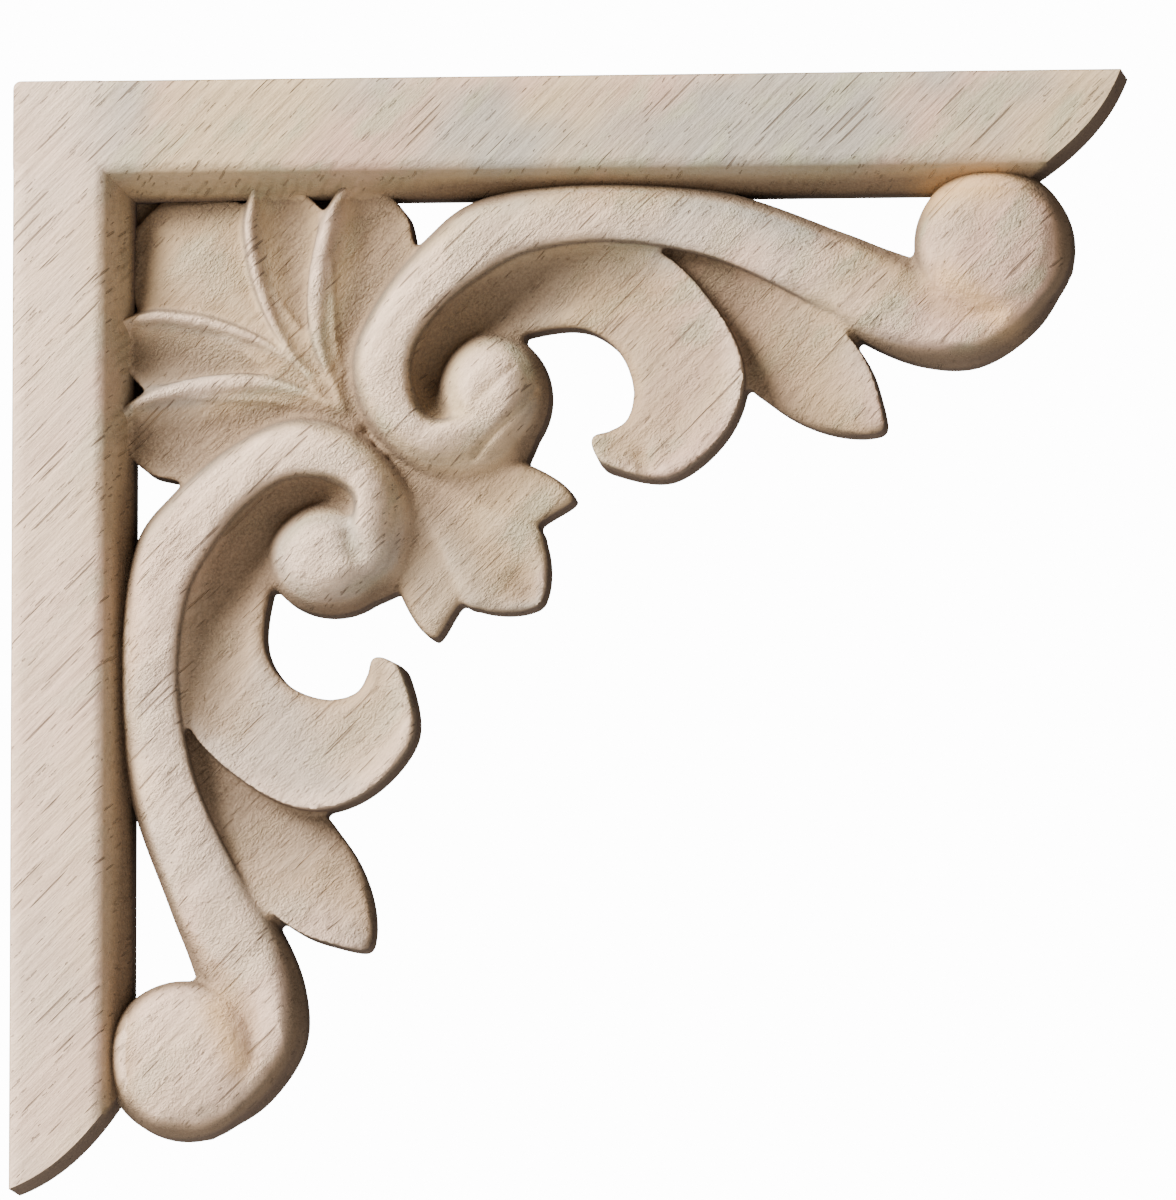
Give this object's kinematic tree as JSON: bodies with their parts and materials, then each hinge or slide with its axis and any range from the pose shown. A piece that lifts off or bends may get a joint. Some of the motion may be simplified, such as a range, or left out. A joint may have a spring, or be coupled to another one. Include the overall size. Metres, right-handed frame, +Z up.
{
  "type": "carved corner applique",
  "caption": "L-shaped wooden corner onlay: two moulded rails, a shell in the corner, a bud on the diagonal, and mirrored scrolls with leaves, carved in relief on a flat back.",
  "frame": {"origin": "on the flat back, where the centre lines of the two rails cross", "axes": "+Z up and +X along the upper rail, as the part is fixed to an upright panel; +Y is the outward normal of the flat back, so the carved face looks along -Y"},
  "size_m": [0.1, 0.008, 0.1],
  "materials": {
    "wood": "raw, sanded rails, matte"
  },
  "bodies": {
    "root": {"corner_applique": "wood"}
  },
  "joints": []
}
